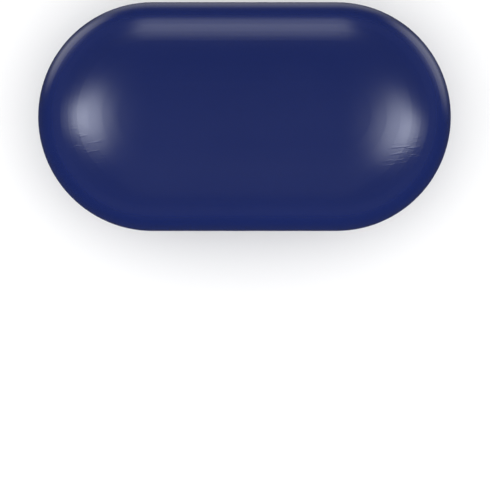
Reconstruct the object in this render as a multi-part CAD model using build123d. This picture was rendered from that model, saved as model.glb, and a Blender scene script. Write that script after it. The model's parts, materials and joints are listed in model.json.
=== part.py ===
"""A pocket charging case for a pair of wireless earbuds: a pill-shaped shell with a hinged lid.

Row frame, in millimetres: +X along the case, +Y to the hinge and the charging port, +Z up.
The origin is on the table plane, under the middle of the closed case.
"""

from build123d import *
from math import asin, cos, degrees, radians, sin
import os

# ---- Driving dimensions ------------------------------------------------------------------------
case_length = 70.0
case_width = 38.8
case_height = 26.5
wall = 1.5
seam_z = 14.6  # plane where lid and base meet
seam_gap = 0.16
rim_round = 0.25
rest_gap = 0.02  # clearance between parts that rest on each other
wall_inside_y = 15.0  # a distance from the middle that lies inside both long walls

end_radius = case_width / 2
spine = case_length / 2 - end_radius  # half of the straight stretch
lid_rim_z = seam_z + seam_gap / 2
base_rim_z = seam_z - seam_gap / 2

# Lid profile, from the widest section up: radius of each arc, and its slope from upright where it ends.
# The bend tightens to the shoulder and then opens gently, so that light rolls off the shoulder softly.
LID_TURNS = [
    (15.0, 18.0), (10.5, 32.0), (9.0, 54.0), (11.0, 62.0),
    (14.0, 69.0), (19.0, 75.0), (27.0, 80.0), (38.0, 84.0),
]
BELT_TURN = 20.0  # slope at which the base's belt arc gives way to its lower arc
FOOT_TURN = 62.0  # slope of the wall where it meets the foot
crease_r = 0.6  # concave round between wall and foot
foot_inset = 6.2  # from the widest section in to the crease round the foot
recess_inset = 9.2  # from the widest section in to the shallow recess inside the foot ring
recess_depth = 0.25
recess_slope = 0.2

# Hinge: the axis lies inside the rear wall, just under the seam.
hinge_y = end_radius - 1.5
hinge_z = seam_z - 1.62
lid_open = 95.0  # degrees that the lid opens
barrel_r = 1.5
barrel_room = 0.25  # free space round the lid's barrels
pin_r = 0.6
pin_half = 15.2
pin_chamfer = 0.15
arm_x = 10.0  # middle of each lid arm
arm_width = 4.0
arm_gap = 0.15
arm_top = 17.0  # height at which the arms have merged into the lid's wall
relief_half = 24.0  # half the length of the rear edge that gives the lid room to swing
block_half = 15.45
block_bottom = 10.7
block_front_y = 16.0
block_round = 0.9  # lower corners of the hinge block
flange_half = 13.2
flange_front_y = 11.4
flange_low, flange_high = 11.0, 12.9
flange_round = 1.5
cam_reach_shut, cam_reach_open = 1.1, 0.9  # how far each cam flat reaches below the axis
detent_flat = 0.15  # how far each cam flat is cut into the arm's barrel
leaf_thick = 0.2
leaf_width = 3.6
leaf_foot_y = 14.5  # front end of the detent spring's foot
leaf_room = 0.1
leaf_rise = 1.0  # how far the leaf stands above the hinge axis
leaf_bend = 0.3

# Charging port
port_z = 8.3
port_width = 8.94
port_height = 3.16
port_wall = 0.3
port_mouth_y = 18.6
port_back_y = 11.2
port_back_thick = 0.8
port_gap = 0.17
tongue_half = 3.34
tongue_thick = 0.7
tongue_root = 1.4  # length of the tongue's base
tongue_setback = 0.6  # from the socket's mouth back to the tongue's tip
pad_count = 12
pad_pitch = 0.5
pad_width = 0.24
pad_thick = 0.05
pad_setback = 1.2

# Cradle
deck_z = 14.1
deck_thick = 1.0
tray_r = 17.78  # from the spine to the cradle's edge
skirt_thick = 0.88
skirt_low = 12.5
lip_outer, lip_thick = 17.62, 0.82
lip_top_z = 15.35
lip_rear_y = 9.5  # the lip stops here, so that the lid can swing
block_room, flange_room = 0.85, 1.3  # free space beside the hinge block and its flange
joined = 0.1  # how far shapes that are joined into one solid reach into each other
well_floor_z = 6.6
well_wall = 1.0
# Plan of each earbud well, as three circles in one hull: (x, y, radius) on the +X side
well_circles = ((20.4, 1.6, 9.8), (15.6, -6.4, 5.4), (24.4, -5.4, 5.6))
well_draft = 0.09  # how much the wall leans for each millimetre of height
well_round = 3.2
pocket_at = (16.6, -3.4)
pocket_r = 5.2
pocket_taper = 1.0
pocket_round = 2.0
pocket_floor_z = 4.2
pocket_rise = 2.6  # how far the pocket's cone reaches above the well's floor
rib_half = 1.2  # half the width of the shell's ribs that the cradle's skirt sits on
rib_inner, rib_outer, rib_low = 16.0, 18.4, 2.0
rib_drop = 0.1  # from the skirt down to the ribs
rib_x = 14.2
rib_headings = (20, -65)  # degrees from +X round the right end

# Lid liner
liner_r = 17.6
liner_z = 15.6
liner_thick = 0.8
liner_top_z = 22.0  # ceiling of the earbud cavities
liner_draft = 0.25

# Magnets
magnet_x, magnet_y = 9.6, -15.0
magnet_size = (6.0, 2.6, 1.5)
magnet_gap = 0.05
magnet_seat_wall, magnet_seat_rise = 0.6, 1.2
disc_magnet_at = (19.6, 5.2)
disc_magnet_r, disc_magnet_thick = 2.0, 1.4
magnet_chamfer = 0.15

# Spring contacts: a plunger in a barrel under each well's floor
contact_x = 24.0
contact_ys = (1.4, -2.2)
plunger_r = 0.38
plunger_head_r = 0.5
plunger_head_thick = 0.8
plunger_lift = 0.9  # how far a free plunger stands above the well's floor
contact_bore_r = 0.55
contact_barrel_r = 0.75
contact_bottom_z = 3.0
contact_floor = 0.3  # thickness of the barrel's closed end
collar_gap = 0.05  # from the plunger's collar up to the well
housing_half, housing_end, housing_round = 1.7, 1.6, 0.6
contact_wire = 0.1
contact_coils = 4.0

# Boards, battery and coil
board_top = port_z - port_height / 2
board_thick = 0.8
board_front_y = 8.0
board_rear_y = 16.4
board_half = 12.4
board_clip = 1.2
passive_count, passive_pitch = 5, 1.8
led_board_top = 10.65
led_board_thick = 0.6
led_board_half = 6.5
led_board_front_y, led_board_rear_y = -16.95, -10.8
led_post = (5.2, -12.0)
led_post_r = 0.6
led_post_end = 0.2  # how far the posts reach through the board
floor_z = 1.42  # top of the shell's floor, with a hair of clearance
coil_spine = 8.5
coil_wire = 0.62
coil_turns = 9
coil_pitch = 0.58
coil_inner_r = 5.2
coil_lead_x = 5.6
coil_rib_inner, coil_rib_outer = 11.4, 12.0
coil_rib_low, coil_rib_high = 1.2, 2.3
coil_lead_r = 0.25
lead_slot_half, lead_slot_low = 0.4, 1.4  # notch in the coil's rib for each lead
ferrite_r = 10.6
ferrite_thick = 0.45
battery_low, battery_high = 3.3, 9.7
battery_half_x = 8.6
battery_front_y, battery_rear_y = -13.8, 4.6
battery_corner, battery_edge = 1.2, 0.7
pad_x, pad_y = (-7.6, 7.6), (-9.8, 4.0)  # foam under the battery
cell_board_x, cell_board_z, cell_board_thick = (-7.2, 7.2), (4.6, 8.4), 0.6
cell_chip_x, cell_chip_z, cell_chip_thick = (1.6, 5.0), (5.4, 7.4), 0.7
cell_gap = 0.05  # between the cell and its protection board
plug_spot, plug_size = (-6.9, 10.0), (4.0, 2.0, 1.5)
lead_r = 0.4
lead_pitch = 1.3
flex_thick = 0.14
contact_flex_thick, contact_flex_width = 0.15, 2.4

# Lights
light_z = 11.0  # middle of the status light on the front wall
light_r = 0.68
light_collar_r = 1.2
light_collar_y = -18.4
light_collar_thick = 0.9
light_end_y = -17.0  # inner end of the front light pipe
deck_light_y = -13.0
deck_light_r = 0.78
deck_light_low = 11.3
deck_collar_r, deck_collar_low = 1.3, 12.3
front_lamp_y, front_lamp_size = -16.55, (1.6, 0.7, 0.6)
deck_lamp_size = (1.0, 0.6, 0.4)
window_share, window_rise = 0.7, 0.07  # a lamp's window, as a share of its length and width

# Screws
screw_boss = (10.6, 9.4)  # main board screws
hinge_screw = (10.2, 13.2)
boss_r, hinge_boss_r, pilot_r = 1.4, 1.3, 0.5
boss_depth = 3.5  # depth of the main board bosses' pilot holes
board_screw_length, hinge_screw_length = 3.6, 2.6
screw_head_r, screw_head_thick = 1.1, 0.7
screw_shank_r = 0.47
screw_recess, screw_slot_half = 0.35, 0.13  # depth and half width of the cross recess
screw_head_round = 0.25


# ---- Shell profile -----------------------------------------------------------------------------
def solve_two(turn_a, turn_b, inset, rise):
    """Radii of two tangent arcs, upright to turn_a and on to turn_b degrees, that cover inset and rise."""
    cos_a, cos_b = cos(radians(turn_a)), cos(radians(turn_b))
    sin_a, sin_b = sin(radians(turn_a)), sin(radians(turn_b))
    inset_a, inset_b = 1 - cos_a, cos_a - cos_b
    rise_a, rise_b = sin_a, sin_b - sin_a
    det = inset_a * rise_b - inset_b * rise_a
    return (inset * rise_b - inset_b * rise) / det, (inset_a * rise - inset * rise_a) / det


def travel(turns):
    """How far a chain of tangent arcs goes inward and along, from an upright start."""
    inset = along = start = 0.0
    for radius, end in turns:
        inset += radius * (cos(radians(start)) - cos(radians(end)))
        along += radius * (sin(radians(end)) - sin(radians(start)))
        start = end
    return inset, along


def arc_chain(turns, up):
    """Arcs that bend inward from the belt, as (centre, radius, start, end), with angles from outward."""
    arcs = []
    start = 0.0
    s, z = end_radius - turns[0][0], belt_z
    for i, (radius, end) in enumerate(turns):
        if i:
            step = turns[i - 1][0] - radius
            s += step * cos(radians(start))
            z += up * step * sin(radians(start))
        arcs.append(((s, z), radius, start, end))
        start = end
    return arcs


crown_inset = end_radius - travel(LID_TURNS)[0]
LID_TURNS.append((crown_inset / cos(radians(LID_TURNS[-1][1])), 90.0))
belt_z = case_height - travel(LID_TURNS)[1]  # height of the widest section
LID_ARCS = arc_chain(LID_TURNS, 1)
crease_inset = crease_r * cos(radians(FOOT_TURN))
crease_drop = crease_r * (1 - sin(radians(FOOT_TURN)))
BASE_RADII = solve_two(BELT_TURN, FOOT_TURN, foot_inset - crease_inset, belt_z - crease_drop)
BASE_TURNS = [*zip(BASE_RADII, (BELT_TURN, FOOT_TURN)), (crease_r, 90.0)]
BASE_ARCS = arc_chain(BASE_TURNS, -1)


def profile(arcs, up, inset=0.0, from_z=None):
    """Edges of the outer profile moved inward by inset, starting at height from_z, or at the belt."""
    edges = []
    for i, ((s, z), radius, start, end) in enumerate(arcs):
        if i == 0 and from_z is not None:
            start = degrees(asin((from_z - z) / (radius - inset)))
        if radius > inset:
            edges.append(CenterArc((s, z), radius - inset, up * start, up * (end - start)))
    return edges


def pill(section, half_length=spine):
    """The solid that a section, drawn outward from the spine, makes round the stadium."""
    half = Plane.YZ * section
    rear = extrude(half, half_length, both=True)
    straight = rear + mirror(rear, Plane.XZ)
    right = Pos(half_length, 0, 0) * revolve(half, Axis.Z, -180)
    left = Pos(-half_length, 0, 0) * revolve(half, Axis.Z, 180)
    return straight + right + left


def ring_section(inner, outer, low, high):
    """A rectangle between two distances from the spine and two heights."""
    return make_face(Polyline((inner, low), (outer, low), (outer, high), (inner, high), close=True))


def stadium(outer, low, high, half_length=spine):
    """A solid stadium plate."""
    return pill(ring_section(0, outer, low, high), half_length)


def block(x, y, z):
    """A box from three (low, high) spans."""
    sizes = [b - a for a, b in (x, y, z)]
    return Pos(*[(a + b) / 2 for a, b in (x, y, z)]) * Box(*sizes)


def around(middle, half):
    """The span from half below a middle to half above it."""
    return middle - half, middle + half


def package(x, y, low, size):
    """A box of (length, width, height) that stands at a height on a spot."""
    return Pos(x, y, low + size[2] / 2) * Box(*size)


def rod(radius, start, end):
    """A cylinder from one point to another along one of the axes."""
    reach = Vector(end) - Vector(start)
    return extrude(Plane(start, z_dir=reach) * Circle(radius), reach.length)


def upright(radius, spot, low, high):
    """A vertical cylinder on a spot of the plan."""
    return rod(radius, (*spot, low), (*spot, high))


def both_sides(shape):
    """The shape and its mirror image on the -X side."""
    return shape + mirror(shape, Plane.YZ)


def outer_form():
    """The closed case as one solid, used to trim parts flush with the skin."""
    upper = profile(LID_ARCS, 1)
    lower = profile(BASE_ARCS, -1)
    top, bottom = upper[-1] @ 1, lower[-1] @ 1
    closing = Polyline((top.X, top.Y), (0, 0), (bottom.X, bottom.Y))
    return pill(make_face([*upper, *closing.edges(), *lower]))


FORM = outer_form()
beyond = end_radius + 1  # a Y or a radius that lies outside the case


# ---- Outer shells ------------------------------------------------------------------------------
def hinge_rod(radius, half_length):
    """A cylinder on the hinge axis."""
    return rod(radius, (-half_length, hinge_y, hinge_z), (half_length, hinge_y, hinge_z))


def rear_relief():
    """What the lid's rear edge sweeps: the corner behind and above the hinge axis, outside the barrel."""
    swing_gap = 0.04
    front_y = hinge_y - 0.05  # so that the cut crosses the wall's inner face and doesn't just touch it
    corner = block((-relief_half, relief_half), (front_y, beyond), (hinge_z, lid_rim_z + 1))
    return corner - hinge_rod(barrel_r + swing_gap, relief_half + 1)


def belt_arc(inset):
    """The base wall's part above the belt, up to the rim."""
    centre, radius = LID_ARCS[0][:2]
    radius -= inset
    return CenterArc(centre, radius, 0, degrees(asin((base_rim_z - belt_z) / radius)))


def base_section():
    """Section of the lower shell: wall, crease, foot ring, shallow recess and floor."""
    outer = profile(BASE_ARCS, -1)
    inner = profile(BASE_ARCS, -1, wall)
    foot, inner_end = outer[-1] @ 1, inner[-1] @ 1
    recess_s = end_radius - recess_inset
    under = Polyline(
        (foot.X, foot.Y), (recess_s + recess_slope, 0), (recess_s, recess_depth), (0, recess_depth),
        (0, inner_end.Y), (inner_end.X, inner_end.Y),
    )
    upper = belt_arc(0.0), belt_arc(wall)
    rim = Line(upper[0] @ 1, upper[1] @ 1)
    section = make_face([*upper, rim, *outer, *under.edges(), *inner])
    corner = section.vertices().sort_by(Axis.Y)[-2:].sort_by(Axis.X)[-1]
    return fillet(corner, rim_round)


def hinge_window():
    """The opening in the rear wall that the hinge block fills, with rounded lower corners."""
    half = block_half + arm_gap
    window = block((-half, half), (wall_inside_y, beyond), (block_bottom - arm_gap, case_height))
    lower = window.edges().filter_by(Axis.Y).group_by(Axis.Z)[0]
    return fillet(lower, block_round + arm_gap)


def light_hole():
    """Hole for the front light, with a wider seat for the pipe's collar on the inside."""
    fit = 0.04
    collar_fit = 0.1
    inner_end = 0, -wall_inside_y, light_z
    hole = rod(light_r + fit, (0, -beyond, light_z), inner_end)
    seat = rod(light_collar_r + collar_fit, (0, light_collar_y - collar_fit / 2, light_z), inner_end)
    return hole + seat


def base_shell():
    """Lower shell, with its openings for the hinge, the port and the front light."""
    shell = pill(base_section())
    shell -= rear_relief()
    shell -= hinge_window()
    shell -= port_form(port_width + 2 * port_gap, port_height + 2 * port_gap, wall_inside_y, beyond)
    shell -= light_hole()
    shell += ledges() & FORM
    return shell


def port_form(width, height, low_y, high_y):
    """A stadium-ended bar along Y at the charging port's place."""
    outline = Plane.XZ * SlotOverall(width, height)
    return Pos(0, high_y, port_z) * extrude(outline, high_y - low_y)


def ledges():
    """Six ribs inside the wall that the cradle's skirt sits on, and the low rib round the coil."""
    rib = block((-rib_half, rib_half), (rib_inner, rib_outer), (rib_low, skirt_low - rib_drop))
    total = pill(ring_section(coil_rib_inner, coil_rib_outer, coil_rib_low, coil_rib_high), coil_spine)
    slot_y = coil_rib_inner - joined, coil_rib_outer + joined
    slot_z = lead_slot_low, coil_rib_high + joined
    total -= both_sides(block(around(coil_lead_x, lead_slot_half), slot_y, slot_z))
    total += both_sides(Pos(rib_x, 0, 0) * mirror(rib, Plane.XZ))
    for heading in rib_headings:
        total += both_sides(Pos(spine, 0, 0) * Rot(0, 0, heading - 90) * rib)
    return total


def cam_flat(reach_down, top):
    """What a cam flat takes off the spring side of an arm's barrel, down from a height."""
    depth = barrel_r - detent_flat
    spring_side_y = hinge_y - 2 * barrel_r, hinge_y - depth
    return block(around(arm_x, arm_width), spring_side_y, (hinge_z - reach_down, top))


def lid_arms():
    """The two arms that hang from the lid's rear wall and end in cam barrels round the pin."""
    half = arm_width / 2
    arm = rod(barrel_r, (arm_x - half, hinge_y, hinge_z), (arm_x + half, hinge_y, hinge_z))
    web = block(around(arm_x, half), (hinge_y - barrel_r, beyond), (hinge_z, arm_top))
    arm += web & FORM
    open_flat = cam_flat(cam_reach_open, hinge_z + cam_reach_open)
    arm -= cam_flat(cam_reach_shut, case_height)
    arm -= open_flat.rotate(Axis((0, hinge_y, hinge_z), (1, 0, 0)), lid_open)
    return both_sides(arm)


def lid_shell():
    """Upper shell: domed wall with a rounded rim, and the hinge arms moulded with it."""
    outer = profile(LID_ARCS, 1, 0.0, lid_rim_z)
    inner = profile(LID_ARCS, 1, wall, lid_rim_z)
    ends = Line(outer[0] @ 0, inner[0] @ 0), Line(outer[-1] @ 1, inner[-1] @ 1)
    section = make_face([*outer, *ends, *inner])
    corner = section.vertices().sort_by(Axis.Y)[:2].sort_by(Axis.X)[-1]
    section = fillet(corner, rim_round)
    shell = pill(section)
    shell += lid_arms()
    shell -= hinge_rod(pin_r + 2 * rest_gap, arm_x + arm_width)
    return shell


# ---- Hinge -------------------------------------------------------------------------------------
def hinge_block():
    """Base half of the hinge: a barrel with two notches for the lid's arms, and a flange under the deck."""
    body = block((-block_half, block_half), (block_front_y, beyond), (block_bottom, hinge_z))
    body = fillet(body.edges().filter_by(Axis.Y).group_by(Axis.Z)[0], block_round) & FORM
    body += hinge_rod(barrel_r, block_half)
    flange_rear_y = block_front_y + 2 * joined
    flange = block((-flange_half, flange_half), (flange_front_y, flange_rear_y), (flange_low, flange_high))
    body += fillet(flange.edges().filter_by(Axis.Z).sort_by(Axis.Y)[:2], flange_round)
    room = barrel_r + barrel_room
    notch_z = hinge_z - room, case_height
    notch = block(around(arm_x, arm_width / 2 + arm_gap), (hinge_y - room, beyond), notch_z)
    channel = block(
        around(arm_x, leaf_width / 2 + leaf_room),
        (leaf_foot_y - leaf_room, hinge_y - barrel_r),
        (hinge_z - room - rest_gap, hinge_z - barrel_r),
    )
    screw_hole = upright(screw_shank_r + arm_gap, hinge_screw, flange_low - 1, flange_high + 1)
    body -= both_sides(notch + channel + screw_hole)
    body -= hinge_rod(pin_r + rest_gap, pin_half + 1)
    return body


def hinge_pin():
    """Steel pin through the block and both arms, with chamfered ends."""
    pin = hinge_rod(pin_r, pin_half)
    return chamfer(pin.edges().filter_by(GeomType.CIRCLE), pin_chamfer)


def detent_spring(side):
    """A bent steel strip whose upright leaf bears on the arm's cam flats."""
    leaf_y = hinge_y - barrel_r + detent_flat - rest_gap - leaf_thick / 2
    foot_z = hinge_z - barrel_r - barrel_room + leaf_thick / 2
    corners = (leaf_foot_y, foot_z), (leaf_y, foot_z), (leaf_y, hinge_z + leaf_rise)
    path = FilletPolyline(*corners, radius=leaf_bend)
    strip = Plane.YZ * trace(path, leaf_thick)
    return Pos(side * arm_x, 0, 0) * extrude(strip, leaf_width / 2, both=True)


# ---- Cradle ------------------------------------------------------------------------------------
def well_plan(grow=0.0):
    """Outline of the earbud well on the +X side."""
    circles = [Pos(x, y) * Circle(r + grow) for x, y, r in well_circles]
    return make_hull([e for c in circles for e in c.edges()])


def bowl(grow, mouth_z, end_z, draft, round_r):
    """A tapered well from its mouth to its rounded end, below the mouth or above it."""
    inset = draft * abs(mouth_z - end_z)
    mouth = Pos(0, 0, mouth_z) * well_plan(grow)
    end = Pos(0, 0, end_z) * well_plan(grow - inset)
    body = loft([mouth, end], ruled=True)
    ends = body.edges().group_by(Axis.Z)
    return fillet(ends[0] if end_z < mouth_z else ends[-1], round_r)


def tip_pocket(grow):
    """The deeper cone in a well that takes the ear tip."""
    low = pocket_floor_z - grow
    height = well_floor_z + pocket_rise - low
    cone = Pos(*pocket_at, low + height / 2) * Cone(pocket_r - pocket_taper + grow, pocket_r + grow, height)
    return fillet(cone.edges().group_by(Axis.Z)[0], pocket_round)


def well_skin():
    """Outer skin of one well."""
    floor = well_floor_z - well_wall
    return bowl(well_wall, deck_z, floor, well_draft, well_round + well_wall) + tip_pocket(well_wall)


def well_space():
    """The hollow of one well, open upward."""
    space = bowl(0.0, deck_z, well_floor_z, well_draft, well_round)
    return space + extrude(Pos(0, 0, deck_z) * well_plan(), lip_top_z) + tip_pocket(0.0)


def tray_form():
    """The cradle without its wells: deck, skirt and lip, cleared at the rear for the hinge."""
    deck_low = deck_z - deck_thick
    below = skirt_low - 1
    behind_block, behind_flange = (block_front_y - 0.1, beyond), (flange_front_y - 0.4, beyond)
    tray = stadium(tray_r, deck_low, deck_z)
    tray += pill(ring_section(tray_r - skirt_thick, tray_r, skirt_low, deck_low + joined))
    tray += pill(ring_section(lip_outer - lip_thick, lip_outer, deck_z - joined, lip_top_z))
    tray -= block((-case_length, case_length), (lip_rear_y, beyond), (deck_z, case_height))
    tray -= block(around(0, block_half + block_room), behind_block, (below, case_height))
    tray -= block(around(0, flange_half + flange_room), behind_flange, (below, deck_low))
    return tray


def tray_bosses():
    """Screw bosses and the light board's post under the deck's right half."""
    top = deck_z - deck_thick + 2 * joined
    bosses = upright(boss_r, screw_boss, board_top, top)
    bosses += upright(hinge_boss_r, hinge_screw, flange_high, top)
    return bosses + upright(led_post_r, led_post, led_board_top - led_board_thick - led_post_end, top)


def tray_holes():
    """Holes for screws and plungers in the cradle's right half."""
    plunger_room = 0.05
    deck_left = 0.35  # what the hinge screw's pilot hole leaves of the deck
    holes = upright(pilot_r, screw_boss, board_top - 1, board_top + boss_depth)
    holes += upright(pilot_r, hinge_screw, flange_high - 1, deck_z - deck_left)
    for y in contact_ys:
        holes += upright(plunger_r + plunger_room, (contact_x, y), pocket_floor_z, well_floor_z + 1)
    return holes


def inner_tray():
    """Cradle: deck, lip and skirt, two earbud wells, and the bosses under the deck."""
    tray = tray_form()
    tray += both_sides(well_skin() + tray_bosses())
    tray -= both_sides(well_space())
    tray -= both_sides(tray_holes())
    tray -= upright(deck_light_r + 2 * rest_gap, (0, deck_light_y), deck_light_low, deck_z + 1)
    return tray


# ---- Lid inside --------------------------------------------------------------------------------
def lid_liner():
    """Inner face of the lid: a flange with two earbud cavities and two magnet seats."""
    high = liner_z + liner_thick
    length, width, thick = magnet_size
    liner = stadium(liner_r, liner_z, high)
    ceiling = liner_top_z + liner_thick
    liner += both_sides(bowl(liner_thick, liner_z, ceiling, liner_draft, well_round + liner_thick))
    liner -= both_sides(bowl(0.0, liner_z, liner_top_z, liner_draft, well_round))
    arm_room = 0.2
    notch_y, notch_z = (hinge_y - barrel_r - 0.3, beyond), (lid_rim_z, case_height)
    notch = block(around(arm_x, arm_width / 2 + arm_room), notch_y, notch_z)
    seat_size = (length + 2 * magnet_seat_wall, width + 2 * magnet_seat_wall, magnet_seat_rise + joined)
    seat = package(magnet_x, magnet_y, high - joined, seat_size)
    hollow = package(magnet_x, magnet_y, high, (length + 2 * magnet_gap, width + 2 * magnet_gap, thick))
    return liner - both_sides(notch) + both_sides(seat - hollow)


def bar_magnet(side, low):
    """A closing magnet with broken edges."""
    bar = package(side * magnet_x, magnet_y, low, magnet_size)
    return chamfer(bar.edges(), magnet_chamfer)


def disc_magnet(side):
    """The magnet under a well that pulls its earbud down."""
    x, y = disc_magnet_at
    low = well_floor_z - well_wall - magnet_gap - disc_magnet_thick
    disc = upright(disc_magnet_r, (side * x, y), low, low + disc_magnet_thick)
    return chamfer(disc.edges().filter_by(GeomType.CIRCLE), magnet_chamfer)


# ---- Lights ------------------------------------------------------------------------------------
def front_light_pipe():
    """Clear pipe from the front wall's hole back to its lamp, with a collar inside the wall."""
    tip = rod(light_r, (0, -beyond, light_z), (0, light_end_y, light_z)) & FORM
    collar_end = 0, light_collar_y + light_collar_thick, light_z
    return tip + rod(light_collar_r, (0, light_collar_y, light_z), collar_end)


def deck_light_pipe():
    """Clear pipe in the deck, between the wells, with a collar under the deck."""
    spot = 0, deck_light_y
    sunk = 0.03  # how far the pipe's end lies below the deck
    top = upright(deck_light_r, spot, deck_light_low, deck_z - sunk)
    return top + upright(deck_collar_r, spot, deck_collar_low, deck_z - deck_thick - rest_gap)


def lamp(y, size):
    """A chip lamp on the light board: a body with a raised window."""
    body = package(0, y, led_board_top, size)
    length, width, height = size
    window_size = (window_share * length, window_share * width, window_rise + 0.01)
    return body + package(0, y, led_board_top + height - 0.01, window_size)


# ---- Electronics -------------------------------------------------------------------------------
def main_board():
    """Main board at the rear, with clipped front corners and two screw holes."""
    low = board_top - board_thick
    board = block((-board_half, board_half), (board_front_y, board_rear_y), (low, board_top))
    board = chamfer(board.edges().filter_by(Axis.Z).group_by(Axis.Y)[0], board_clip)
    hole_r = 0.7
    return board - both_sides(upright(hole_r, screw_boss, low - 1, board_top + 1))


def board_chips():
    """Packages on the main board's top: charger, controller, inductor and a row of passives."""
    charger = package(7.8, 14.2, board_top, (4.0, 3.2, 0.8))
    controller = package(-8.0, 14.4, board_top, (3.2, 3.0, 0.7))
    inductor = package(6.85, 9.9, board_top, (2.5, 2.0, 1.2))
    chips = [charger, controller, inductor]
    passive_y, passive_size = 9.85, (1.0, 0.5, 0.5)
    for i in range(passive_count):
        x = passive_pitch * (i - (passive_count - 1) / 2)
        chips.append(package(x, passive_y, board_top, passive_size))
    return Compound(children=[c.solid() for c in chips])


def shield_can():
    """Folded steel cover over the charging circuit, under the main board."""
    length, width, height, sheet, bend = 8.4, 6.2, 1.4, 0.2, 0.5
    y = 12.1
    low = board_top - board_thick - height
    can = package(0, y, low, (length, width, height))
    can = fillet(can.edges().filter_by(Axis.Z), bend)
    return can - package(0, y, low + sheet, (length - 2 * sheet, width - 2 * sheet, height))


def usb_shell():
    """Steel sleeve of the charging socket with a closed back."""
    sleeve = port_form(port_width, port_height, port_back_y, port_mouth_y)
    bore_width, bore_height = port_width - 2 * port_wall, port_height - 2 * port_wall
    return sleeve - port_form(bore_width, bore_height, port_back_y + port_back_thick, port_mouth_y + 1)


def usb_tongue():
    """Plastic tongue in the socket, with a base against its back."""
    gap = 2 * (port_wall + rest_gap)
    back = port_back_y + port_back_thick
    base = port_form(port_width - gap, port_height - gap, back + rest_gap, back + tongue_root)
    blade_y = back + tongue_root - 2 * joined, port_mouth_y - tongue_setback
    blade = block((-tongue_half, tongue_half), blade_y, around(port_z, tongue_thick / 2))
    tip_chamfer = 0.15
    return base + chamfer(blade.edges().filter_by(Axis.X).group_by(Axis.Y)[-1], tip_chamfer)


def usb_contacts():
    """Twelve gold contacts on each face of the tongue."""
    low_y, high_y = port_back_y + port_back_thick + tongue_root, port_mouth_y - pad_setback
    pads = []
    for i in range(pad_count):
        x = pad_pitch * (i - (pad_count - 1) / 2)
        for low in (port_z + tongue_thick / 2, port_z - tongue_thick / 2 - pad_thick):
            pads.append(block(around(x, pad_width / 2), (low_y, high_y), (low, low + pad_thick)))
    return Compound(children=[p.solid() for p in pads])


def charging_coil():
    """Flat receiving coil, one solid with a groove between turns."""
    turns = [
        Pos(coil_inner_r + i * coil_pitch, floor_z + coil_wire / 2) * Circle(coil_wire / 2)
        for i in range(coil_turns)
    ]
    wires = turns[0]
    for turn in turns[1:]:
        wires += turn
    return pill(wires, coil_spine)


def coil_leads():
    """Two leads from the coil up to the main board."""
    start_y = coil_inner_r + (coil_turns - 1) * coil_pitch + coil_wire / 2 + rest_gap
    rise_y, bend = 12.9, 1.2
    z = floor_z + coil_wire / 2
    top = board_top - board_thick - rest_gap / 2
    leads = []
    for x in (-coil_lead_x, coil_lead_x):
        path = FilletPolyline((x, start_y, z), (x, rise_y, z), (x, rise_y, top), radius=bend)
        leads.append(sweep(Plane(path @ 0, z_dir=path % 0) * Circle(coil_lead_r), path=path))
    return Compound(children=[lead.solid() for lead in leads])


def ferrite_sheet():
    """Shield between the coil and the battery."""
    low = floor_z + coil_wire + 2 * rest_gap
    return stadium(ferrite_r, low, low + ferrite_thick, coil_spine)


def battery_pad():
    """Foam under the battery."""
    low = floor_z + coil_wire + ferrite_thick + 2.5 * rest_gap
    return block(pad_x, pad_y, (low, battery_low - rest_gap / 2))


def battery_cell():
    """Pouch cell with softened edges."""
    length, width = (-battery_half_x, battery_half_x), (battery_front_y, battery_rear_y)
    cell = block(length, width, (battery_low, battery_high))
    cell = fillet(cell.edges().filter_by(Axis.Z), battery_corner)
    levels = cell.edges().group_by(Axis.Z)
    return fillet(levels[-1] + levels[0], battery_edge)


def battery_board():
    """Protection board across the cell's rear end."""
    y = battery_rear_y + cell_gap
    face_y = y + cell_board_thick
    board = block(cell_board_x, (y, face_y), cell_board_z)
    return board + block(cell_chip_x, (face_y, face_y + cell_chip_thick), cell_chip_z)


def battery_lead(offset):
    """One wire from the protection board, in a small arch, to its plug."""
    x = -5.6 - offset
    y = battery_rear_y + cell_gap + cell_board_thick
    plug_y = plug_spot[1] - plug_size[1] / 2
    start_z, crest_z, plug_z = 7.4, 8.3, 7.5
    bends = (0.75, start_z), (1.75, crest_z), (2.75, plug_z)  # past the board, height
    corners = [(x, y + past, z) for past, z in bends]
    path = FilletPolyline((x, y, start_z), *corners, (x, plug_y, plug_z), radius=lead_r)
    return sweep(Plane(path @ 0, z_dir=path % 0) * Circle(lead_r), path=path)


def battery_plug():
    """Wire-to-board plug on the main board."""
    body = package(*plug_spot, board_top, plug_size)
    corner = 0.25
    return fillet(body.edges().filter_by(Axis.Z), corner)


def led_board():
    """Small board behind the front wall, staked on two posts of the cradle."""
    low = led_board_top - led_board_thick
    corner, post_room = 0.8, 0.05
    length, width = (-led_board_half, led_board_half), (led_board_front_y, led_board_rear_y)
    board = block(length, width, (low, led_board_top))
    board = fillet(board.edges().filter_by(Axis.Z), corner)
    return board - both_sides(upright(led_post_r + post_room, led_post, low - 1, led_board_top + 1))


def lid_sensor():
    """Magnetic sensor that tells when the lid shuts."""
    x, y = 3.8, magnet_y  # beside the closing magnet
    return package(x, y, led_board_top, (1.6, 1.2, 0.6))


def led_flex():
    """Flat cable over the battery, from the light board to the main board."""
    half_width, bend = 1.8, 0.35
    board_z, over_z = led_board_top - led_board_thick / 2, battery_high + flex_thick + rest_gap
    front = (led_board_rear_y + rest_gap, board_z), (-9.9, board_z), (-9.1, over_z)
    rear = (battery_rear_y + 1, over_z), (7.4, 6.9), (8.8, board_top + flex_thick / 2)
    path = FilletPolyline(*front, *rear, radius=bend)
    return extrude(Plane.YZ * trace(path, flex_thick), half_width, both=True)


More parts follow.
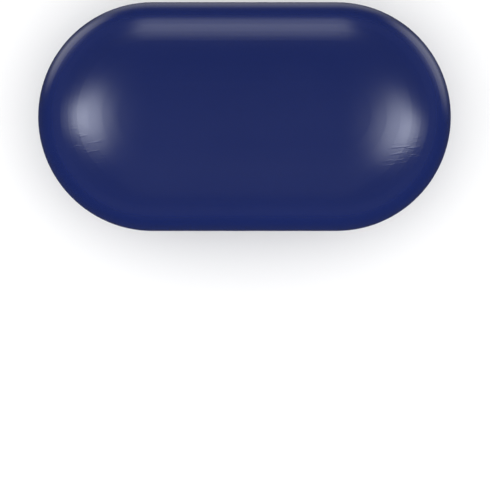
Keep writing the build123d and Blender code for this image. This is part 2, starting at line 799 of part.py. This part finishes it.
def contact_flex(side):
    """Flat cable from the main board's underside to a well's spring contacts."""
    thick = contact_flex_thick
    low = contact_bottom_z - thick
    start_x, rise_y = 8.2, 11.9
    end_y = min(contact_ys) - 2
    path = Polyline((start_x, rise_y), (14.6, rise_y), (contact_x, 4.6), (contact_x, end_y))
    flat = extrude(Pos(0, 0, low) * trace(path, contact_flex_width), thick)
    riser_z = low, board_top - board_thick - rest_gap
    riser = block((start_x, start_x + 2), around(rise_y, thick / 2), riser_z)
    flex = flat + riser
    return flex if side > 0 else mirror(flex, Plane.YZ)


# ---- Spring contacts ---------------------------------------------------------------------------
def contact_housing(side):
    """Plastic block that holds a well's two contact barrels."""
    top = well_floor_z - well_wall - rest_gap
    x = side * contact_x
    width = min(contact_ys) - housing_end, max(contact_ys) + housing_end
    housing = block(around(x, housing_half), width, (contact_bottom_z + contact_floor, top))
    housing = fillet(housing.edges().filter_by(Axis.Z), housing_round)
    for y in contact_ys:
        housing -= upright(contact_barrel_r + rest_gap / 2, (x, y), contact_bottom_z, top + 1)
    return housing


def contact_barrel(x, y):
    """Brass barrel, open at the top."""
    top = well_floor_z - well_wall - rest_gap
    barrel = upright(contact_barrel_r, (x, y), contact_bottom_z, top)
    return barrel - upright(contact_bore_r, (x, y), contact_bottom_z + contact_floor, top + 1)


def contact_plunger(x, y):
    """Gold-plated plunger: a collar in the barrel and a domed stem through the well's floor."""
    dome = 0.3
    stop = well_floor_z - well_wall - collar_gap
    stem = upright(plunger_r, (x, y), stop - plunger_head_thick / 2, well_floor_z + plunger_lift)
    stem = fillet(stem.edges().group_by(Axis.Z)[-1], dome)
    return stem + upright(plunger_head_r, (x, y), stop - plunger_head_thick, stop)


def contact_spring(x, y):
    """Coil spring under the plunger's collar."""
    end_gap = contact_wire / 2 + rest_gap / 2
    low = contact_bottom_z + contact_floor + end_gap
    high = well_floor_z - well_wall - collar_gap - plunger_head_thick - end_gap
    mean_r = contact_bore_r - contact_wire
    path = Pos(x, y, low) * Helix(pitch=(high - low) / contact_coils, height=high - low, radius=mean_r)
    return sweep(Plane(path @ 0, z_dir=path % 0) * Circle(contact_wire / 2), path=path, is_frenet=True)


# ---- Fasteners ---------------------------------------------------------------------------------
def screw(x, y, head_z, length):
    """A small pan-head screw driven upward, with a cross recess."""
    long_half, short_half = screw_head_r / 2, screw_slot_half
    span = head_z - 1, head_z - screw_recess
    head = upright(screw_head_r, (x, y), head_z - screw_head_thick, head_z)
    head = fillet(head.edges().group_by(Axis.Z)[0], screw_head_round)
    head -= block(around(x, long_half), around(y, short_half), span)
    head -= block(around(x, short_half), around(y, long_half), span)
    return head + upright(screw_shank_r, (x, y), head_z - joined, head_z + length)


def screw_pair(spot, head_z, length):
    """The same screw on both sides of the case."""
    x, y = spot
    return Compound(children=[screw(side * x, y, head_z, length).solid() for side in (1, -1)])


# ---- All nodes ---------------------------------------------------------------------------------
def shared_nodes():
    """The nodes that lie across the middle of the case."""
    return {
        "base_shell": base_shell(),
        "lid_shell": lid_shell(),
        "lid_liner": lid_liner(),
        "inner_tray": inner_tray(),
        "hinge_block": hinge_block(),
        "hinge_pin": hinge_pin(),
        "front_light_pipe": front_light_pipe(),
        "deck_light_pipe": deck_light_pipe(),
        "front_lamp": lamp(front_lamp_y, front_lamp_size),
        "deck_lamp": lamp(deck_light_y, deck_lamp_size),
        "led_board": led_board(),
        "lid_sensor": lid_sensor(),
        "led_flex": led_flex(),
        "main_board": main_board(),
        "board_chips": board_chips(),
        "shield_can": shield_can(),
        "usb_shell": usb_shell(),
        "usb_tongue": usb_tongue(),
        "usb_contacts": usb_contacts(),
        "charging_coil": charging_coil(),
        "coil_leads": coil_leads(),
        "ferrite_sheet": ferrite_sheet(),
        "battery_pad": battery_pad(),
        "battery_cell": battery_cell(),
        "battery_board": battery_board(),
        "battery_lead_red": battery_lead(0.0),
        "battery_lead_black": battery_lead(lead_pitch),
        "battery_plug": battery_plug(),
        "board_screws": screw_pair(screw_boss, board_top - board_thick, board_screw_length),
        "hinge_screws": screw_pair(hinge_screw, flange_low, hinge_screw_length),
    }


def side_nodes(side, name):
    """The nodes on one side of the case."""
    nodes = {
        f"detent_spring_{name}": detent_spring(side),
        f"lid_magnet_{name}": bar_magnet(side, liner_z + liner_thick + rest_gap),
        f"base_magnet_{name}": bar_magnet(side, deck_z - deck_thick - magnet_size[2] - rest_gap),
        f"earbud_magnet_{name}": disc_magnet(side),
        f"contact_flex_{name}": contact_flex(side),
        f"contact_housing_{name}": contact_housing(side),
    }
    for place, y in zip(("rear", "front"), contact_ys):
        where = side * contact_x, y
        nodes[f"contact_barrel_{name}_{place}"] = contact_barrel(*where)
        nodes[f"contact_plunger_{name}_{place}"] = contact_plunger(*where)
        nodes[f"contact_spring_{name}_{place}"] = contact_spring(*where)
    return nodes


os.makedirs("parts", exist_ok=True)
nodes = {**shared_nodes(), **side_nodes(-1, "left"), **side_nodes(1, "right")}
for node, shape in nodes.items():
    export_step(shape, f"parts/{node}.step")
    print(node, round(shape.volume, 2))
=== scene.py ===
"""Looks of the wireless earbuds case.

A material for every node, coiled contact springs, and the floor, the light and the camera.
"""

import json
import math

import bpy
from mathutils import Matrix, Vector


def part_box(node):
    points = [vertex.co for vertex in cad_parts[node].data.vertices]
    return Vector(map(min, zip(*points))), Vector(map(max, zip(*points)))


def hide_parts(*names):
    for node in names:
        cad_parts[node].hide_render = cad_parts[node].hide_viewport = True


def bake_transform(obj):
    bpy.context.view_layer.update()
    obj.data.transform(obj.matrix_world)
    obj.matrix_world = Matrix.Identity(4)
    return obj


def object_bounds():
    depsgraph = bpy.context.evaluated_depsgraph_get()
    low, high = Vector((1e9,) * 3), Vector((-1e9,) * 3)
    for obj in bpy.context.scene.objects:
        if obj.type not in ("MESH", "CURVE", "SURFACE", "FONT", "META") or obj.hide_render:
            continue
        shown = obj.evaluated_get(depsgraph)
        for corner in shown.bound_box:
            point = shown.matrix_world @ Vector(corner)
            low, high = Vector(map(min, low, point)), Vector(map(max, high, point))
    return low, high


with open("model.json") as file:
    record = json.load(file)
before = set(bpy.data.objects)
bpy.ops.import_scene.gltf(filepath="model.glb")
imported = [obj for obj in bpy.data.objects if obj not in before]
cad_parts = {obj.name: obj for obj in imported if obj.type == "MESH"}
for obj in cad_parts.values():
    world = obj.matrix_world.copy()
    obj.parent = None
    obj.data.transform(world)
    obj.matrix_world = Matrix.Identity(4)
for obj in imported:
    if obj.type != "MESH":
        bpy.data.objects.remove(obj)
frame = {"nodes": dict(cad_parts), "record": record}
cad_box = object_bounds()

MM = 0.001
CONTACTS = ("left_rear", "left_front", "right_rear", "right_front")
SHELLS = ("base_shell", "lid_shell", "hinge_block")  # the outside, which is lit apart from the rest

# ---- Contact springs -----------------------------------------------------------------------------
SPRING_WIRE = 0.1 * MM
SPRING_TURNS = 4
STEPS_PER_TURN = 32
WIRE_SIDES = 12

# ---- Materials that several pieces share ---------------------------------------------------------
NAVY = (0.0020, 0.0071, 0.0560)
NAVY_INSIDE = (0.0046, 0.0108, 0.064)
ACROSS = (0.08, 1, 1)  # fine lines that run along X
ALONG = (1, 0.08, 1)  # fine lines that run along Y
UPRIGHT = (1, 1, 0.08)  # fine lines that run along Z
WAVE_STRIPES = 3.2  # stripes that a wave texture of scale 1 makes in one unit

# ---- Faint creases in the shells, near the front of both ends ------------------------------------
CREASE_SPOT = (28 * MM, -6.5 * MM)  # X and Y of the right end's creases
CREASE_REACH = 6 * MM
CREASE_WIDTH = 0.5 * MM
CREASE_STRETCH = (0.08, 1.0, 0.5)  # long along X, before the tilt
CREASE_TILT = math.radians(11)
CREASE_FADE = (0.58, 0.72)  # noise at which a crease starts and at which it has its full height
CREASE_DEPTH = 0.016 * MM

# ---- Camera --------------------------------------------------------------------------------------
FRAME_WIDTH = 83.05 * MM  # width that the picture covers, at the height where the case is widest
LENS_MM = 300.0
SENSOR_MM = 36.0
CASE_OFFSET = 21.78 * MM  # how far the case's middle lies behind the middle of the picture
CASE_DRIFT = 0.085 * MM  # and how far it lies to the left of it
VIEW_DEPTH = 20.0  # how far the camera sees, in metres, which is past the edge of the floor

# ---- Light, with all directions and angular sizes in degrees -------------------------------------
# Discs of light that show as soft highlights: name, azimuth from +X, elevation, angular size, strength
HIGHLIGHTS = (
    ("left_skirt", 180, 30, 22, 0.15),
    ("left_low", 180, 46, 18, 0.43),
    ("left_high", 180, 59, 20, 0.52),
    ("left_halo", 180, 57, 33, 0.46),
    ("right_skirt", -10, 30, 22, 0.16),
    ("right_low", -10, 45, 20, 0.44),
    ("right_high", -9, 58, 22, 0.50),
    ("right_halo", -9, 58, 35, 0.50),
    ("rear_low", 91, 11, 22, 0.17),
    ("rear_high", 91, 28, 22, 0.22),
    ("front", -90, 57, 36, 0.05),
)
HIGHLIGHT_TINT = (0.95, 0.99, 1.08)
# Broad overhead light for the shading, without a highlight of its own, in the same form
DOME = ("dome", -90, 78, 160, 4.4)
# Broad discs that only metal and the inside reflect, in the same form
SHINES = (
    ("shine_above", -90, 75, 120, 2.2),
    ("shine_behind", 90, 15, 110, 2.4),
)
# A ring of broad lamps that lifts the shells' sloping edges a little, without a highlight
WASH_LAMPS = 8
WASH_ELEVATION = 6
WASH_SIZE = 60
WASH_STRENGTH = 1.6
# Pale patches in the room: name, azimuth, elevation, reach, brightness
PATCHES = (
    ("low_left", 138, -40, 23, 1.00),
    ("low_right", 34, -40, 25, 0.90),
    ("low_rear", 90, -58, 20, 0.36),
)
# The room's brightness from below, through the horizon, to above: height from 0 (down) to 1 (up), grey
ROOM = ((0.28, 0.05), (0.50, 0.15), (0.65, 0.012))
BACKGROUND = 1.0  # brightness of the plain surroundings behind the floor

# ---- Floor, in metres ----------------------------------------------------------------------------
FLOOR_SIZE = 6.0
FLOOR_GREYS = (0.86, 0.89)
FLOOR_PATCH = 0.4  # size of the patches in its tone
FLOOR_GRAIN = 0.1  # and of those in its roughness


# ---- Small helpers -------------------------------------------------------------------------------
def heading(azimuth, elevation):
    """Unit vector at an azimuth from +X and an elevation, in degrees."""
    a, e = math.radians(azimuth), math.radians(elevation)
    return Vector((math.cos(a) * math.cos(e), math.sin(a) * math.cos(e), math.sin(e)))


def shade(colour, factor):
    """The colour made darker or lighter."""
    return tuple(min(1.0, c * factor) for c in colour)


def slot_of(name):
    """The record's material slot of a CAD node."""
    return next(row["material_slot"] for row in frame["record"]["subparts"] if row["node"] == name)


class Nodes:
    """A material's node tree, with short calls for the nodes that the finishes share."""

    def __init__(self, name):
        self.material = bpy.data.materials.new(name)
        self.material.use_nodes = True
        self.tree = self.material.node_tree
        self.shader = self.tree.nodes["Principled BSDF"]
        self.place = self.add("ShaderNodeTexCoord").outputs["Object"]

    def add(self, kind, **settings):
        node = self.tree.nodes.new(kind)
        for key, value in settings.items():
            setattr(node, key, value)
        return node

    def link(self, source, target):
        self.tree.links.new(source, target)

    def stretched(self, scale, turn=0.0):
        """Object coordinates, in metres, turned about Z and then scaled along each axis."""
        turned = self.add("ShaderNodeVectorRotate", rotation_type="Z_AXIS")
        turned.inputs["Angle"].default_value = turn
        self.link(self.place, turned.inputs["Vector"])
        mapping = self.add("ShaderNodeMapping")
        mapping.inputs["Scale"].default_value = scale
        self.link(turned.outputs["Vector"], mapping.inputs["Vector"])
        return mapping.outputs["Vector"]

    def noise(self, size, detail=3.0, rough=0.5, stretch=(1, 1, 1), turn=0.0):
        """Noise whose features are about size metres wide, stretched along the axes with a small factor."""
        node = self.add("ShaderNodeTexNoise")
        node.inputs["Scale"].default_value = 1.0
        node.inputs["Detail"].default_value = detail
        node.inputs["Roughness"].default_value = rough
        self.link(self.stretched([s / size for s in stretch], turn), node.inputs["Vector"])
        return node.outputs["Fac"]

    def spread(self, value, low, high, start=0.3, end=0.7):
        """Value from start to end, mapped to low to high."""
        node = self.add("ShaderNodeMapRange")
        self.link(value, node.inputs["Value"])
        for key, number in (("From Min", start), ("From Max", end), ("To Min", low), ("To Max", high)):
            node.inputs[key].default_value = number
        return node.outputs["Result"]

    def blend(self, factor, first, second):
        """A mix of two colours, each an output or an (r, g, b)."""
        node = self.add("ShaderNodeMix", data_type="RGBA")
        self.link(factor, node.inputs["Factor"])
        for key, colour in (("A", first), ("B", second)):
            socket = [s for s in node.inputs if s.name == key and s.type == "RGBA"][0]
            if isinstance(colour, bpy.types.NodeSocket):
                self.link(colour, socket)
            else:
                socket.default_value = (*colour, 1)
        return [s for s in node.outputs if s.type == "RGBA"][0]

    def bump(self, height, depth, after=None):
        """A bump whose full height is depth metres, on top of an earlier one."""
        node = self.add("ShaderNodeBump")
        node.inputs["Strength"].default_value = 1.0
        node.inputs["Distance"].default_value = depth
        self.link(height, node.inputs["Height"])
        if after is not None:
            self.link(after, node.inputs["Normal"])
        return node.outputs["Normal"]

    def finish(self, colour, roughness, normal=None, **fixed):
        """Connects the surface, and sets values that are the same all over on the shader itself."""
        self.link(colour, self.shader.inputs["Base Color"])
        self.link(roughness, self.shader.inputs["Roughness"])
        if normal is not None:
            self.link(normal, self.shader.inputs["Normal"])
        for key, value in fixed.items():
            self.shader.inputs[key.replace("_", " ")].default_value = value
        return self.material


# ---- Materials -----------------------------------------------------------------------------------
def crease_marks(n):
    """Height of a few thin creases, near the front of both ends of the case."""
    flat = n.stretched((1, 1, 0))
    distances = []
    for side in (-1, 1):
        away = n.add("ShaderNodeVectorMath", operation="DISTANCE")
        away.inputs[1].default_value = (side * CREASE_SPOT[0], CREASE_SPOT[1], 0)
        n.link(flat, away.inputs[0])
        distances.append(away.outputs["Value"])
    nearest = n.add("ShaderNodeMath", operation="MINIMUM")
    marks = n.add("ShaderNodeMath", operation="MULTIPLY")
    thin = n.noise(CREASE_WIDTH, detail=1.0, stretch=CREASE_STRETCH, turn=-CREASE_TILT)
    n.link(distances[0], nearest.inputs[0])
    n.link(distances[1], nearest.inputs[1])
    n.link(n.spread(nearest.outputs[0], 1, 0, 0, CREASE_REACH), marks.inputs[0])
    n.link(n.spread(thin, 0, 1, *CREASE_FADE), marks.inputs[1])
    return marks.outputs[0]


def moulded_plastic(name, colour, roughness, grain=0.12 * MM, depth=0.002 * MM, drift=0.05, creased=False):
    """Injection-moulded plastic: slight drift of tone and a fine moulded grain."""
    n = Nodes(name)
    tone = n.blend(n.spread(n.noise(18 * MM), 0, 1), shade(colour, 1 - drift), shade(colour, 1 + drift))
    speck = n.noise(grain, detail=2.0)
    tone = n.blend(n.spread(speck, 0, 2 * drift), tone, shade(colour, 1.5))
    polish = n.spread(n.noise(9 * MM), (1 - drift) * roughness, (1 + drift) * roughness)
    normal = n.bump(speck, depth)
    if creased:
        normal = n.bump(crease_marks(n), CREASE_DEPTH, normal)
    return n.finish(tone, polish, normal)


def metal(name, colour, roughness, lines=(1, 1, 1), size=0.3 * MM, depth=0.0008 * MM):
    """Bare metal with fine drawn or ground lines, and a little tarnish."""
    n = Nodes(name)
    tone = n.blend(n.spread(n.noise(2.5 * MM, detail=4.0), 0, 1), shade(colour, 0.82), colour)
    scratch = n.noise(size, detail=4.0, rough=0.7, stretch=lines)
    polish = n.spread(scratch, roughness - 0.06, roughness + 0.10)
    return n.finish(tone, polish, n.bump(scratch, depth), Metallic=1.0)


def circuit_board(name, colour, copper):
    """Solder mask over copper tracks, with bare plated dots."""
    n = Nodes(name)
    cells = n.add("ShaderNodeTexVoronoi", feature="DISTANCE_TO_EDGE", distance="MANHATTAN")
    n.link(n.stretched([1 / (1.3 * MM)] * 3), cells.inputs["Vector"])
    cells.inputs["Scale"].default_value = 1.0
    track = n.spread(cells.outputs["Distance"], 1, 0, 0.06, 0.09)
    tone = n.blend(track, colour, shade(colour, 1.9))
    holes = n.add("ShaderNodeTexVoronoi", feature="F1")
    n.link(n.stretched([1 / (1.9 * MM)] * 3), holes.inputs["Vector"])
    holes.inputs["Scale"].default_value = 1.0
    dot = n.spread(holes.outputs["Distance"], 1, 0, 0.10, 0.13)
    tone = n.blend(dot, tone, copper)
    polish = n.spread(n.noise(0.4 * MM), 0.28, 0.40)
    return n.finish(tone, polish, n.bump(track, 0.02 * MM))


def striped_film(name, colour, pitch, axis):
    """Flexible cable: film over parallel tracks."""
    n = Nodes(name)
    wave = n.add("ShaderNodeTexWave", wave_type="BANDS", bands_direction=axis)
    wave.inputs["Scale"].default_value = 1.0 / (pitch * WAVE_STRIPES)
    n.link(n.place, wave.inputs["Vector"])
    track = n.spread(wave.outputs["Fac"], 0, 1, 0.45, 0.6)
    tone = n.blend(track, shade(colour, 0.55), colour)
    return n.finish(tone, n.spread(n.noise(0.8 * MM), 0.18, 0.30), n.bump(track, 0.01 * MM))


def foil(name, colour):
    """Laminated foil of a pouch cell: dull metal, softly wrinkled."""
    n = Nodes(name)
    wrinkle = n.noise(2.2 * MM, detail=5.0, rough=0.55)
    tone = n.blend(n.spread(n.noise(6 * MM), 0, 1), shade(colour, 0.9), colour)
    return n.finish(tone, n.spread(wrinkle, 0.30, 0.42), n.bump(wrinkle, 0.05 * MM), Metallic=0.9)


def foam(name, colour):
    """Open foam with small cells, with painted shade that darkens each pore toward its middle and leaves
    the cell walls lighter.
    """
    n = Nodes(name)
    cells = n.add("ShaderNodeTexVoronoi", feature="F1")
    n.link(n.stretched([1 / (0.25 * MM)] * 3), cells.inputs["Vector"])
    cells.inputs["Scale"].default_value = 1.0
    pore = cells.outputs["Distance"]
    # painted shade: the colour is darkest in the middle of each pore and lighter on the cell walls
    tone = n.blend(n.spread(pore, 0, 1, 0.1, 0.6), shade(colour, 0.5), shade(colour, 1.6))
    return n.finish(tone, n.spread(pore, 0.95, 0.80, 0.1, 0.6), n.bump(pore, 0.08 * MM))


def wound_wire(name, colour):
    """Enamelled copper wire: glossy lacquer over metal, a little uneven from turn to turn."""
    n = Nodes(name)
    tone = n.blend(n.spread(n.noise(1.2 * MM, detail=4.0), 0, 1), shade(colour, 0.7), colour)
    polish = n.spread(n.noise(0.5 * MM), 0.22, 0.38)
    return n.finish(tone, polish, n.bump(n.noise(0.2 * MM), 0.002 * MM), Metallic=0.85, Coat_Weight=0.5)


def clear_plastic(name, colour, cloud):
    """Light pipe: tinted clear plastic with faint clouding."""
    n = Nodes(name)
    haze = n.noise(0.5 * MM, detail=4.0)
    tone = n.blend(n.spread(haze, 0, 1), shade(colour, 0.85), colour)
    polish = n.spread(haze, cloud - 0.04, cloud + 0.06)
    return n.finish(tone, polish, n.bump(haze, 0.001 * MM), Transmission_Weight=0.6, IOR=1.49)


def lamp_body(name, colour):
    """Chip lamp or connector body: cream plastic with a phosphor tint in patches."""
    n = Nodes(name)
    patch = n.noise(0.35 * MM, detail=2.0)
    tone = n.blend(n.spread(patch, 0, 1), colour, shade(colour, 0.8))
    return n.finish(tone, n.spread(patch, 0.35, 0.5), n.bump(patch, 0.002 * MM))


def make_materials():
    """A material for each of the record's slots."""
    return {
        "shell_navy": moulded_plastic("shell_navy", NAVY, 0.25, drift=0.02, creased=True),
        "inner_navy": moulded_plastic("inner_navy", NAVY_INSIDE, 0.42, grain=0.2 * MM, depth=0.004 * MM),
        "hinge_navy": moulded_plastic("hinge_navy", NAVY, 0.34),
        "black_plastic": moulded_plastic("black_plastic", (0.018, 0.018, 0.019), 0.38, grain=0.1 * MM),
        "chip_black": moulded_plastic("chip_black", (0.025, 0.025, 0.027), 0.5, grain=0.06 * MM),
        "wire_red": moulded_plastic("wire_red", (0.45, 0.02, 0.015), 0.35),
        "wire_black": moulded_plastic("wire_black", (0.012, 0.012, 0.012), 0.35),
        "ferrite_grey": moulded_plastic("ferrite_grey", (0.045, 0.045, 0.05), 0.55, grain=0.3 * MM),
        "pin_steel": metal("pin_steel", (0.60, 0.60, 0.61), 0.22, ACROSS),
        "spring_steel": metal("spring_steel", (0.52, 0.52, 0.54), 0.30, UPRIGHT),
        "screw_steel": metal("screw_steel", (0.20, 0.20, 0.21), 0.35),
        "socket_steel": metal("socket_steel", (0.62, 0.62, 0.63), 0.24, ALONG),
        "can_steel": metal("can_steel", (0.60, 0.60, 0.57), 0.34, ACROSS),
        "magnet_nickel": metal("magnet_nickel", (0.66, 0.64, 0.60), 0.16),
        "contact_gold": metal("contact_gold", (0.85, 0.60, 0.24), 0.20, size=0.1 * MM),
        "barrel_brass": metal("barrel_brass", (0.74, 0.52, 0.22), 0.26, UPRIGHT),
        "coil_copper": wound_wire("coil_copper", (0.72, 0.28, 0.12)),
        "board_green": circuit_board("board_green", (0.008, 0.060, 0.028), (0.80, 0.60, 0.28)),
        "flex_amber": striped_film("flex_amber", (0.40, 0.15, 0.025), 0.5 * MM, "X"),
        "cell_foil": foil("cell_foil", (0.62, 0.63, 0.64)),
        "foam_black": foam("foam_black", (0.025, 0.025, 0.025)),
        "light_clear": clear_plastic("light_clear", (0.20, 0.17, 0.08), 0.18),
        "lamp_white": lamp_body("lamp_white", (0.80, 0.76, 0.60)),
    }


def dress_nodes(materials):
    """Gives each CAD node the material of its slot."""
    for name, node in frame["nodes"].items():
        for slot in node.material_slots:
            slot.material = materials[slot_of(name)]


# ---- Springs -------------------------------------------------------------------------------------
def wire_ring(centre, outward):
    """Points round the wire, in the plane of the spring's axis and the outward direction."""
    angles = [math.tau * k / WIRE_SIDES for k in range(WIRE_SIDES)]
    up = Vector((0, 0, 1))
    return [centre + SPRING_WIRE / 2 * (math.cos(a) * outward + math.sin(a) * up) for a in angles]


def coil_spring(contact, materials):
    """A contact's spring, drawn as a coil that fills the box of its CAD node, which it replaces."""
    node = "contact_spring_" + contact
    low, high = (Vector(corner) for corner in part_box(node))
    middle = (low + high) / 2
    bottom, top = low.z + SPRING_WIRE / 2, high.z - SPRING_WIRE / 2
    radius = (high.x - low.x - SPRING_WIRE) / 2
    steps = SPRING_TURNS * STEPS_PER_TURN
    points = []
    for i in range(steps + 1):
        outward = heading(360 * i / STEPS_PER_TURN, 0)
        height = bottom + (top - bottom) * i / steps
        points += wire_ring(Vector((middle.x, middle.y, height)) + radius * outward, outward)
    faces = [tuple(range(WIRE_SIDES)), tuple(reversed(range(steps * WIRE_SIDES, len(points))))]
    for i in range(steps):
        for k in range(WIRE_SIDES):
            here, beside = i * WIRE_SIDES + k, i * WIRE_SIDES + (k + 1) % WIRE_SIDES
            faces.append((here, here + WIRE_SIDES, beside + WIRE_SIDES, beside))
    mesh = bpy.data.meshes.new("spring_" + contact)
    mesh.from_pydata(points, [], faces)
    mesh.polygons.foreach_set("use_smooth", [True] * len(faces))
    mesh.materials.append(materials[slot_of(node)])
    spring = bpy.data.objects.new(mesh.name, mesh)
    bpy.context.scene.collection.objects.link(spring)
    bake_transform(spring)
    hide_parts(node)


# ---- Stage ---------------------------------------------------------------------------------------
def pale_floor():
    """A plain pale floor under the case."""
    bpy.ops.mesh.primitive_plane_add(size=FLOOR_SIZE)
    floor = bpy.context.object
    floor.name = "floor"
    n = Nodes("floor_pale")
    dark, light = ((grey, grey, grey) for grey in FLOOR_GREYS)
    tone = n.blend(n.spread(n.noise(FLOOR_PATCH), 0, 1), dark, light)
    floor.data.materials.append(n.finish(tone, n.spread(n.noise(FLOOR_GRAIN), 0.7, 0.8)))
    floor.visible_glossy = False


def disc_of_light(name, azimuth, elevation, size, strength):
    """A far lamp that looks as large as size degrees across."""
    lamp = bpy.data.lights.new(name, "SUN")
    lamp.energy = strength
    lamp.angle = math.radians(size)
    holder = bpy.data.objects.new(name, lamp)
    holder.rotation_euler = heading(azimuth, elevation).to_track_quat("Z", "Y").to_euler()
    bpy.context.scene.collection.objects.link(holder)
    return holder


def soft_light():
    """A broad overhead light for the shading, and separate discs for the highlights."""
    disc_of_light(*DOME).visible_glossy = False
    for row in HIGHLIGHTS:
        lamp = disc_of_light(*row)
        lamp.data.color = HIGHLIGHT_TINT
        lamp.visible_diffuse = False


def group_of(name, nodes):
    """A collection of pieces that a lamp can be limited to."""
    group = bpy.data.collections.new(name)
    for node in nodes:
        group.objects.link(frame["nodes"][node])
    return group


def wash_on_shells():
    """A little more light on the shells' sloping edges than on the flat top, and on no other piece."""
    group = group_of("shells", SHELLS)
    for i in range(WASH_LAMPS):
        azimuth = 360 * i / WASH_LAMPS
        lamp = disc_of_light(f"wash_{i}", azimuth, WASH_ELEVATION, WASH_SIZE, WASH_STRENGTH)
        lamp.visible_glossy = False
        lamp.light_linking.receiver_collection = group


def shine_on_metal():
    """A broad shine for the metal and the inside, which leaves the shells' soft highlights alone."""
    group = group_of("shining_pieces", [name for name in frame["nodes"] if name not in SHELLS])
    for row in SHINES:
        lamp = disc_of_light(*row)
        lamp.visible_diffuse = False
        lamp.light_linking.receiver_collection = group


def room_colour(tree):
    """A dark room that is a little paler at the horizon, with soft pale patches low behind the case."""
    place = tree.nodes.new("ShaderNodeTexCoord").outputs["Generated"]
    split = tree.nodes.new("ShaderNodeSeparateXYZ")
    shift = tree.nodes.new("ShaderNodeMapRange")
    ramp = tree.nodes.new("ShaderNodeValToRGB")
    shift.inputs["From Min"].default_value = -1
    tree.links.new(place, split.inputs["Vector"])
    tree.links.new(split.outputs["Z"], shift.inputs["Value"])
    tree.links.new(shift.outputs["Result"], ramp.inputs["Fac"])
    ramp.color_ramp.elements.new(0.5)  # between the two that a ramp starts with
    for stop, (height, grey) in zip(ramp.color_ramp.elements, ROOM):
        stop.position = height
        stop.color = (grey, grey, grey, 1)
    total = ramp.outputs["Color"]
    for name, azimuth, elevation, reach, brightness in PATCHES:
        facing = tree.nodes.new("ShaderNodeVectorMath")
        facing.operation = "DOT_PRODUCT"
        facing.label = name
        facing.inputs[1].default_value = heading(azimuth, elevation)
        tree.links.new(place, facing.inputs[0])
        fade = tree.nodes.new("ShaderNodeMapRange")
        fade.interpolation_type = "SMOOTHSTEP"
        fade.inputs["From Min"].default_value = math.cos(math.radians(reach))
        fade.inputs["To Max"].default_value = brightness
        tree.links.new(facing.outputs["Value"], fade.inputs["Value"])
        both = tree.nodes.new("ShaderNodeVectorMath")
        tree.links.new(total, both.inputs[0])
        tree.links.new(fade.outputs["Result"], both.inputs[1])
        total = both.outputs["Vector"]
    return total


def surroundings():
    """Plain and pale behind the floor, and the dark room in every reflection."""
    world = bpy.data.worlds.new("studio")
    world.use_nodes = True
    bpy.context.scene.world = world
    tree = world.node_tree
    room = tree.nodes["Background"]
    tree.links.new(room_colour(tree), room.inputs["Color"])
    plain = tree.nodes.new("ShaderNodeBackground")
    plain.inputs["Color"].default_value = (BACKGROUND, BACKGROUND, BACKGROUND, 1)
    seen = tree.nodes.new("ShaderNodeLightPath").outputs["Is Camera Ray"]
    choice = tree.nodes.new("ShaderNodeMixShader")
    for source, target in zip((seen, room.outputs[0], plain.outputs[0]), choice.inputs):
        tree.links.new(source, target)
    tree.links.new(choice.outputs[0], tree.nodes["World Output"].inputs["Surface"])


def camera():
    """Looks straight down, with the rear of the case at the top of the picture."""
    low, high = cad_box
    distance = FRAME_WIDTH * LENS_MM / SENSOR_MM
    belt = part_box("base_shell")[1].z
    middle = (Vector(low) + Vector(high)) / 2
    data = bpy.data.cameras.new("camera")
    data.lens = LENS_MM
    data.sensor_width = SENSOR_MM
    data.clip_end = VIEW_DEPTH
    holder = bpy.data.objects.new("camera", data)
    holder.location = (middle.x + CASE_DRIFT, middle.y - CASE_OFFSET, belt + distance)
    bpy.context.scene.collection.objects.link(holder)
    bpy.context.scene.camera = holder


def main():
    """Dresses the case and sets the stage."""
    materials = make_materials()
    dress_nodes(materials)
    for contact in CONTACTS:
        coil_spring(contact, materials)
    pale_floor()
    soft_light()
    wash_on_shells()
    shine_on_metal()
    surroundings()
    camera()
    bpy.context.scene.view_settings.view_transform = "Standard"


main()
